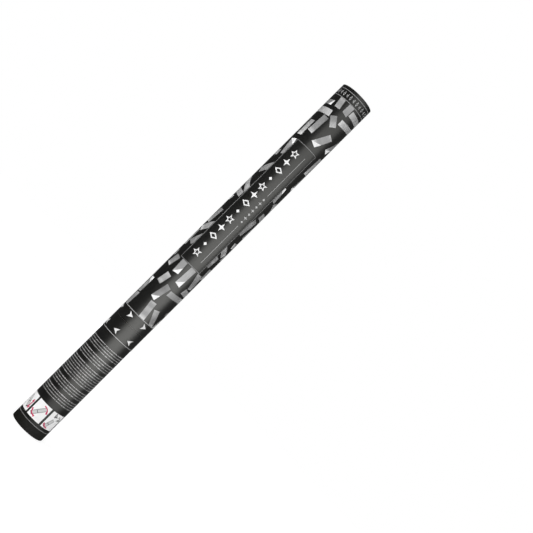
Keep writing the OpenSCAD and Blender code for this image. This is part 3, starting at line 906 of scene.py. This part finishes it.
def sketchClearance(x):
    # the tube is held clear, with its reach marked beside it
    look = clearance
    drawing = sketchTube(x + look["aside"], upPanel(look["heightShare"]), look["lean"],
                         look["lengthShare"] * sketch["tubeLength"])
    for share in look["dashShares"]:
        drawing.append(stamp(square, 0.2, x + look["dashAside"], upPanel(share), *look["dash"]))
    across, middle, size = x + look["arrowAside"], upPanel(look["arrowShare"]), sketch["arrowHead"]
    arrows = [stamp(square, sketch["arrowTone"], across, middle, *look["arrowBar"])]
    for way, turn in ((-1, math.pi), (1, 0)):
        tip = middle + way * look["arrowReach"]
        arrows.append(stamp(drawnHead, sketch["arrowTone"], across, tip, size, size, turn))
    return drawing, arrows


def pictograms():
    random.seed(handlePrint["seed"])
    drawings, arrows = [], []
    for index, middle in enumerate(panelMiddles):
        drawing, turns = (sketchShot, sketchClearance, sketchTurning)[index % 3](middle)
        drawings += drawing
        arrows += turns
    printArt(drawings, "handle_pictograms", "drawing", "handle", silverInk)
    printArt(arrows, "handle_turn_arrows", "overprint", "handle", redInk)


def ruledLines():
    # the small print is left as plain broken rules, in the same groups
    look = handlePrint
    random.seed(look["seed"] + 1)
    marks = []
    height, reach = look["ruleStart"], look["ruleReach"]
    for group in look["ruleGroups"]:
        for row in range(group):
            last = row == group - 1
            place = -reach + random.uniform(*look["ruleStartInset"])
            stop = reach - random.uniform(*look["lastRuleInset" if last else "ruleEndInset"])
            weight = look["lastRuleWeight"] if last else 1.0
            while place < stop:
                length = random.choice(look["ruleLengths"])
                turn = math.degrees(length / tubeRadius)
                tall = look["ruleHeight"] * random.uniform(*look["ruleHeightShare"])
                tone = weight * random.uniform(*look["ruleTone"])
                marks.append(stamp(square, tone, around(place + turn / 2), height, length, tall))
                place += turn + math.degrees(random.choice(look["ruleGaps"]) / tubeRadius)
            height += look["rulePitch"]
        height += look["groupGap"]
    return marks


def ringLine(height, width, tone):
    return stamp(square, tone, 0, height, around(360), width)


def arrowRow(height, turn):
    look = arrowPrint
    head = flatArrow(look["notch"])
    row = [stamp(head, look["tone"], around(look["middle"] + handlePrint["panelPitch"] * step), height,
                 look["width"] / 2, look["length"] / 2, turn) for step in panelSteps]
    discard(head)
    return row


def handleMarks():
    look = handlePrint
    marks = ruledLines()
    marks.append(ringLine(look["ringHeight"], look["ringWidth"], look["ringTone"]))
    # a grey band round the foot of the label, 0.7 mm tall and lighter than the black paper
    marks.append(ringLine(labelBottom + paper["footBand"] / 2, paper["footBand"], look["footTone"]))
    marks += arrowRow(arrowPrint["handleHeight"], -math.pi / 2)
    printArt(marks, "handle_marks", "ink", "handle", silverInk)


whitePanels()
pictograms()
handleMarks()
print("handle printed")


# Print on the barrel

barrelPrint = {
    "ringHeight": 201.7 * mm,
    "panelLow": 293.0 * mm,
    "panelHigh": 504.4 * mm,
    "panelReach": 40.9,
    "frameStroke": 0.55 * mm,
    "frameTone": 0.25,
    "cutGap": 0.6 * mm,
    "seed": 29,
}

strips = {
    "length": (24 * mm, 29 * mm),
    "shortLength": (15 * mm, 18 * mm),
    "shortShare": 0.14,
    "width": (7.8 * mm, 9.6 * mm),
    "straightShare": 0.50,
    "straightTilt": (-16, 16),
    "slantedShare": 0.28,
    "slantedTilt": (28, 55),
    "crossTilt": (-15, 15),
    "skew": (-0.12, 0.12),
    "tone": (0.18, 0.42),
    "slope": 0.35,
    "bright": (0.0, 0.7),
    "brightTone": 0.85,
    "headStart": 0.30,
    "tailStart": 0.34,
    "tailGlow": (0, 0.6),
    "glowFade": 0.14,
    "band": (-0.10, 0.16),
    "bandPlace": (-0.3, 0.2),
    "bandWidth": 0.13,
    "gap": 1.5 * mm,
    "foldShare": 0.30,
    "foldTone": 0.93,
    "foldShares": ((-0.5, 0.5), (0.5, 0.5), (0.5, 0.12)),
    "tries": 9000,
    "count": 96,
}


def stripTilt():
    # mostly near the tube's axis, some slanted and some across
    kind = random.random()
    if kind < strips["straightShare"]:
        return math.radians(random.uniform(*strips["straightTilt"]))
    if kind < strips["straightShare"] + strips["slantedShare"]:
        return math.radians(random.choice((-1, 1)) * random.uniform(*strips["slantedTilt"]))
    return math.radians(90 + random.uniform(*strips["crossTilt"]))


def spine(strip):
    # five points along the strip's middle
    reach = 0.5 * (strip["length"] - strip["width"])
    across, up = reach * math.sin(strip["tilt"]), reach * math.cos(strip["tilt"])
    return [(strip["x"] + share * across, strip["z"] + share * up) for share in (-1, -0.5, 0, 0.5, 1)]


def tooClose(strip, others):
    turn = around(360)
    for other in others:
        space = 0.5 * (strip["width"] + other["width"]) + strips["gap"]
        if abs(strip["z"] - other["z"]) > 2 * strips["length"][1]:
            continue
        for x, z in spine(strip):
            for ox, oz in spine(other):
                apart = abs(x - ox) % turn
                apart = min(apart, turn - apart)
                if apart * apart + (z - oz) * (z - oz) < space * space:
                    return True
    return False


def scatterStrips():
    random.seed(barrelPrint["seed"])
    low, high = barrelPrint["ringHeight"], topBand["low"]
    panelEdge = around(barrelPrint["panelReach"])
    placed = []
    for _ in range(strips["tries"]):
        short = random.random() < strips["shortShare"]
        strip = {
            "x": random.uniform(-0.5, 0.5) * around(360),
            "z": random.uniform(low, high),
            "tilt": stripTilt(),
            "length": random.uniform(*strips["shortLength" if short else "length"]),
            "width": random.uniform(*strips["width"]),
            "tone": random.uniform(*strips["tone"]),
            "end": random.choice((-1, 1)),
            "bright": random.uniform(*strips["bright"]),
            "fold": random.random() < strips["foldShare"],
            "skew": random.uniform(*strips["skew"]),
        }
        beside = barrelPrint["panelLow"] < strip["z"] < barrelPrint["panelHigh"]
        inPanel = beside and abs(strip["x"]) < panelEdge
        if inPanel or len(placed) >= strips["count"] or tooClose(strip, placed):
            continue
        placed.append(strip)
    return placed


def stripTone(piece, strip):
    # the print shows foil: a slow change along the strip, a soft band of shine and bright ends
    look = strips
    along = corners(piece)[:, 2] * strip["end"]
    glow = np.clip((along - look["headStart"]) / look["glowFade"], 0, 1)
    glow += random.choice(look["tailGlow"]) * np.clip((-along - look["tailStart"]) / look["glowFade"], 0, 1)
    band = random.uniform(*look["band"])
    band *= np.exp(-((along - random.uniform(*look["bandPlace"])) / look["bandWidth"]) ** 2)
    glow *= strip["bright"] * (look["brightTone"] - strip["tone"])
    return strip["tone"] * (1 + look["slope"] * along) + band + glow


def clipStrip(piece, strip):
    # nothing is printed past the ring lines or inside the panel
    edge = barrelPrint["cutGap"]
    piece = cutArt(piece, (0, 0, topBand["low"] - edge), (0, 0, 1))
    piece = cutArt(piece, (0, 0, barrelPrint["ringHeight"] + edge), (0, 0, -1))
    place = corners(piece)
    side = around(barrelPrint["panelReach"]) + edge
    low, high = barrelPrint["panelLow"] - edge, barrelPrint["panelHigh"] + edge
    if np.abs(place[:, 0]).min() >= side or place[:, 2].max() <= low or place[:, 2].min() >= high:
        return piece
    if strip["z"] < low:
        return cutArt(piece, (0, 0, low), (0, 0, 1))
    if strip["z"] > high:
        return cutArt(piece, (0, 0, high), (0, 0, -1))
    way = 1 if strip["x"] > 0 else -1
    return cutArt(piece, (way * side, 0, 0), (-way, 0, 0))


def printedStrips():
    blank = flatSquare(rows=8)
    corner = faceViewer(drawFlat(bpy.ops.mesh.primitive_circle_add, "flat_corner", vertices=3, radius=1,
                                 fill_type="NGON"))
    flat, folded = [], []
    for strip in scatterStrips():
        piece = copyOf(blank, Matrix.Identity(4))
        giveTone(piece, stripTone(piece, strip))
        skew = Matrix.Identity(4)
        skew[0][2] = strip["skew"] * strip["end"]
        skew[2][0] = 0.5 * strip["skew"]
        matrix = placing(strip["x"], strip["z"], strip["width"], strip["length"], strip["tilt"]) @ skew
        piece.data.transform(matrix)
        flat.append(clipStrip(piece, strip))
        if strip["fold"]:
            # a folded corner shows the bright side of the foil
            fold = copyOf(corner, Matrix.Identity(4))
            for vertex, spot in zip(fold.data.vertices, strips["foldShares"]):
                vertex.co = (spot[0], 0, spot[1] * strip["end"])
            fold.data.transform(matrix)
            faceViewer(fold)
            giveTone(fold, strips["foldTone"])
            folded.append(clipStrip(fold, strip))
    discard(blank, corner)
    for sheet in (flat, folded):
        for piece in [piece for piece in sheet if not len(piece.data.polygons)]:
            sheet.remove(piece)
            discard(piece)
    print("printed strips:", len(flat), "with folded corners:", len(folded))
    printArt(flat, "barrel_strips", "ink", "barrel", silverInk)
    printArt(folded, "barrel_strip_folds", "overprint", "barrel", silverInk)


titleRow = {
    "low": 304.6 * mm,
    "high": 493.5 * mm,
    "turn": -12.7,
    "size": 6.4 * mm,
    "tone": 0.90,
    "underTurn": 18.6,
    "underRules": ((304.6 * mm, 371.2 * mm), (424.3 * mm, 492.5 * mm)),
    "underStroke": 0.6 * mm,
    "underTone": 0.36,
    "smallStart": 378 * mm,
    "smallPitch": 6.6 * mm,
    "smallSize": 2.8 * mm,
    "smallCount": 7,
    "smallTone": 0.50,
}


def titlePanel():
    # frame, a row of plain motifs in the place of the title, and a ruled line under it
    look = titleRow
    low, high = barrelPrint["panelLow"], barrelPrint["panelHigh"]
    outline = flatFrame(2 * around(barrelPrint["panelReach"]), high - low, barrelPrint["frameStroke"])
    outline.data.transform(placing(0, (low + high) / 2))
    marks = [giveTone(outline, barrelPrint["frameTone"])]
    star, lozenge = flatStar(5, 0.44, 0.54), flatStar(2, 0.66, 0.58)
    sparkle, dot = flatStar(4, 0.33), flatStar(2, 1.0)
    row = ((star, 1.0), (dot, 0.38), (lozenge, 1.0), (sparkle, 0.95)) * 3 + ((star, 1.0),)
    first, last = look["low"] + look["size"], look["high"] - look["size"]
    for index, (shape, share) in enumerate(row):
        height = first + (last - first) * index / (len(row) - 1)
        size = look["size"] * share
        marks.append(stamp(shape, look["tone"], around(look["turn"]), height, size, size, -math.pi / 2))
    under = around(look["underTurn"])
    for start, end in look["underRules"]:
        middle, tall = (start + end) / 2, end - start
        marks.append(stamp(square, look["underTone"], under, middle, look["underStroke"], tall))
    for step in range(look["smallCount"]):
        shape, size = (sparkle, look["smallSize"]) if step % 2 else (dot, 0.6 * look["smallSize"])
        height = look["smallStart"] + look["smallPitch"] * step
        marks.append(stamp(shape, look["smallTone"], under, height, size, size))
    discard(star, sparkle, lozenge, dot)
    return marks


topBand = {
    "low": 583.1 * mm,
    "high": 594.9 * mm,
    "ringTone": 0.30,
    "count": 14,
    "lozenge": (2.3 * mm, 3.7 * mm),
    "lozengeTone": 0.54,
    "dashes": ((-0.7 * mm, 2.0 * mm), (0.7 * mm, 5.2 * mm)),
    "dashWidth": 0.85 * mm,
    "dashTone": 0.44,
}


def muzzleBand():
    # two ring lines with a row of small lozenges and dashes between them
    look = topBand
    lozenge = flatStar(2, 0.62, 0.6)
    middle = (look["low"] + look["high"]) / 2
    marks = [ringLine(look[edge], handlePrint["ringWidth"], look["ringTone"]) for edge in ("low", "high")]
    for step in range(look["count"]):
        turn = around(360 * (step + 0.5) / look["count"]) - around(180)
        marks.append(stamp(lozenge, look["lozengeTone"], turn, middle, *look["lozenge"]))
        for side, tall in look["dashes"]:
            place = turn + around(180 / look["count"]) + side
            marks.append(stamp(square, look["dashTone"], place, middle, look["dashWidth"], tall))
    discard(lozenge)
    return marks


def barrelMarks():
    marks = titlePanel() + muzzleBand()
    marks.append(ringLine(barrelPrint["ringHeight"], handlePrint["ringWidth"], handlePrint["ringTone"]))
    marks += arrowRow(arrowPrint["barrelHeight"], math.pi / 2)
    printArt(marks, "barrel_marks", "ink", "barrel", silverInk)


printedStrips()
barrelMarks()
discard(square, drawnHead)
print("barrel printed")


# Confetti: stacks of foil strips, seven layers up the barrel

charge = {
    "layers": 7,
    "layerTurn": 34.0,
    "stripWidth": 11.0 * mm,
    "stackGap": 0.4 * mm,
    "leafKinds": 5,
    "leafPitch": 0.66 * mm,
    "leafThickness": 0.16 * mm,
    "play": 0.30 * mm,
    "wave": 0.16 * mm,
    "wallGap": 0.35 * mm,
    "seed": 5,
}


def leafShapes(length):
    # a few strips, each with its own soft wave along it and a slight bow across it
    shapes = []
    for _ in range(charge["leafKinds"]):
        leaf = drawFlat(bpy.ops.mesh.primitive_grid_add, "leaf", charge["stripWidth"], length,
                        x_subdivisions=2, y_subdivisions=7, size=1)
        place = corners(leaf)
        share = place[:, 2] / length
        bend = np.sin(2 * math.pi * (share * random.uniform(0.7, 1.6) + random.random()))
        roll = np.cos(math.pi * place[:, 0] / charge["stripWidth"])
        place[:, 1] += 0.5 * charge["wave"] * bend + 0.3 * charge["wave"] * roll * random.choice((-1, 1))
        moveCorners(leaf, place)
        shapes.append(thicken(leaf, charge["leafThickness"], 0))
    return shapes


def confettiPack(index):
    name = "confetti_pack_%d" % index
    low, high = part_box(name)
    play, pitch = charge["play"], charge["leafPitch"]
    shapes = leafShapes(high.z - low.z - play - 0.1 * mm)
    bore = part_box("wad_card")[1].x
    stackPitch = charge["stripWidth"] + charge["stackGap"]
    leaves = []
    for column in (-1, 0, 1):
        farSide = abs(column) * stackPitch + charge["stripWidth"] / 2 + charge["wallGap"]
        depth = 2 * math.sqrt(bore * bore - farSide * farSide) - pitch
        count = int(depth / pitch)
        for step in range(count):
            y = (step + 0.5 - count / 2) * pitch + random.uniform(-0.06, 0.06) * mm
            x = column * stackPitch + random.uniform(-0.5, 0.5) * play
            z = (low.z + high.z) / 2 + random.uniform(-0.5, 0.5) * play
            leaf = copyOf(random.choice(shapes), Matrix.Translation((x, y, z)))
            leaves.append(giveTone(leaf, random.uniform(0.25, 1.0)))
    discard(*shapes)
    pack = joined(leaves, name + "_strips")
    pack.data.transform(Matrix.Rotation(math.radians(charge["layerTurn"] * (index - 1)), 4, "Z"))
    finishPiece(pack, name, "foil_strips", foil, name)


random.seed(charge["seed"])
for packIndex in range(1, charge["layers"] + 1):
    confettiPack(packIndex)
print("confetti packed")


# Foam wad, soft at its edges and a little uneven on its faces

wad = {
    "segments": 120,
    "edge": 0.7 * mm,
    "rings": (2.2 * mm, 3.2 * mm, 4.2 * mm, 4.2 * mm, 4.2 * mm),
    "unevenness": 0.06 * mm,
    "fill": 0.95,
    "seed": 3,
}


def foamWad():
    low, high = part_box("wad_foam")
    middle = (low.z + high.z) / 2
    piece = addCylinder("wad_foam_disc", wad["segments"], high.x, low.z, high.z, "NGON")
    editSome(piece, "FACE", lambda face: abs(face.normal.z) > 0.9)
    bpy.ops.mesh.bevel(offset=wad["edge"], segments=4, affect="EDGES")
    leaveEdit()
    for inset in wad["rings"]:
        editSome(piece, "FACE", lambda face: abs(face.normal.z) > 0.99 and face.center.xy.length < 0.1 * mm)
        bpy.ops.mesh.inset(thickness=inset, use_individual=True)
        leaveEdit()
    random.seed(wad["seed"])
    place = corners(piece)
    for row in place:
        if math.hypot(row[0], row[1]) < high.x - wad["edge"]:
            row[2] -= math.copysign(random.uniform(0.1, 1) * wad["unevenness"], row[2] - middle)
    moveCorners(piece, place)
    smooth(piece, 40)
    finishPiece(piece, "wad", "wad_foam", foam, "wad_foam")


foamWad()
print("wad shaped")


# Floor, light and camera

studio = {
    "floorSize": 60.0,
    "floorColour": (0.92, 0.92, 0.92, 1),
    "floorGlow": 0.76,
    "floorShare": 0.5,
    "floorNear": 0.75,
    "floorFar": 3.0,
    "horizonShine": 0.09,
    "darkBelow": 0.52,
    "darkFade": 0.3,
    "ambient": 0.22,
}


def studioRays(tree):
    # camera and transmission rays see white, and so does what shines, but for a dark band at the horizon
    rays = addNode(tree, "LightPath", {}).outputs
    seen = addMath(tree, "MAXIMUM", rays["Is Camera Ray"], rays["Is Transmission Ray"])
    return seen, rays["Is Glossy Ray"]


def makeWorld():
    world = bpy.data.worlds.new("studio")
    bpy.context.scene.world = world
    world.use_nodes = True
    tree = world.node_tree
    seen, shine = studioRays(tree)
    height = splitPlace(tree, addNode(tree, "TexCoord", {}).outputs["Generated"])["Z"]
    ambient, dark = studio["ambient"], studio["darkBelow"]
    sky = addRange(tree, height, studio["horizonShine"] - ambient, 1 - ambient, dark,
                   dark + studio["darkFade"], "SMOOTHSTEP")
    level = addMath(tree, "MULTIPLY_ADD", seen, 1 - ambient, ambient)
    level = addMath(tree, "MULTIPLY_ADD", shine, sky, level)
    feed(tree, tree.nodes["Background"], {"Color": (1, 1, 1, 1), "Strength": level})


def makeFloor():
    startObject()
    bpy.ops.mesh.primitive_plane_add(size=studio["floorSize"], location=(0, 0, 0))
    floor = settle(bpy.context.object, "floor")
    material = bpy.data.materials.new("floor_white")
    material.use_nodes = True
    tree = material.node_tree
    tree.nodes.clear()
    # near the object the floor keeps its shadow, and far away it fades into the white background
    seen, shine = studioRays(tree)
    place = addNode(tree, "TexCoord", {}).outputs["Object"]
    reach = addNode(tree, "VectorMath", {0: place}, operation="LENGTH").outputs["Value"]
    far = addRange(tree, reach, 0, 1, studio["floorNear"], studio["floorFar"])
    strength = studio["floorGlow"] / (1 - studio["floorShare"])
    level = addMath(tree, "MULTIPLY", seen, addMath(tree, "MULTIPLY_ADD", far, 1 - strength, strength))
    level = addMath(tree, "MULTIPLY_ADD", shine, studio["horizonShine"], level)
    share = addMath(tree, "MULTIPLY_ADD", far, studio["floorShare"], 1 - studio["floorShare"])
    share = addMath(tree, "MAXIMUM", addMath(tree, "MULTIPLY", seen, share), shine)
    lit = addNode(tree, "BsdfDiffuse", {"Color": studio["floorColour"]})
    glow = addNode(tree, "Emission", {"Strength": level})
    mix = addNode(tree, "MixShader", {0: share, 1: lit.outputs[0], 2: glow.outputs[0]})
    addNode(tree, "OutputMaterial", {0: mix.outputs[0]})
    floor.data.materials.append(material)


lamps = {
    # name: (azimuth, distance, height, width, tall, power, seen in what shines); 0 degrees is the front
    "key_wide": (27.0, 1.5, 0.405, 2.7, 0.85, 15.6, True),
    "key_middle": (27.0, 1.5, 0.405, 1.3, 0.85, 10.6, True),
    "soft": (27.0, 1.5, 0.4, 1.6, 1.6, 9.0, False),
    "fill": (-75.0, 1.5, 0.4, 1.6, 1.6, 25.0, False),
    "back": (180.0, 1.5, 0.4, 0.6, 1.8, 14.0, False),
    "floor_card": (27.0, 0.85, 0.003, 0.9, 1.1, 9.0, True),
}


def addLamp(name, azimuth, distance, height, width, tall, power, shiny):
    # a soft box that faces the tube; 90 degrees is towards +X
    light = bpy.data.lights.new(name, "AREA")
    light.shape = "RECTANGLE"
    light.size, light.size_y = width, tall
    light.energy = power
    lamp = bpy.data.objects.new(name, light)
    bpy.context.collection.objects.link(lamp)
    turn = math.radians(azimuth)
    lamp.location = (distance * math.sin(turn), -distance * math.cos(turn), height)
    lamp.rotation_euler = (math.pi / 2, 0, turn)
    lamp.visible_camera = False
    lamp.visible_glossy = shiny
    return lamp


view = {
    "place": (-0.0011, -1.314, 0.300),
    "yaw": 0.05522,
    "pitch": 0.0466,
    "roll": 0.78404,
    "lens": 68.58,
}


def makeCamera():
    yaw, pitch, roll = view["yaw"], view["pitch"], view["roll"]
    forward = Vector((math.sin(yaw) * math.cos(pitch), math.cos(yaw) * math.cos(pitch), math.sin(pitch)))
    level = Vector((math.cos(yaw), -math.sin(yaw), 0))
    upright = level.cross(forward)
    right = math.cos(roll) * level + math.sin(roll) * upright
    up = math.cos(roll) * upright - math.sin(roll) * level
    lens = bpy.data.cameras.new("view")
    lens.lens = view["lens"]
    camera = bpy.data.objects.new("view", lens)
    bpy.context.collection.objects.link(camera)
    turn = Matrix((right, up, -forward)).transposed().to_4x4()
    camera.matrix_world = Matrix.Translation(view["place"]) @ turn
    bpy.context.scene.camera = camera


makeWorld()
makeFloor()
boxes = {name: addLamp(name, *values) for name, values in lamps.items()}
# the card lies on the floor, shines upwards and shows only as a sheen
boxes["floor_card"].rotation_euler[0] = math.pi
boxes["floor_card"].visible_diffuse = False
makeCamera()
bpy.context.scene.view_settings.view_transform = "Standard"
print("studio lit")
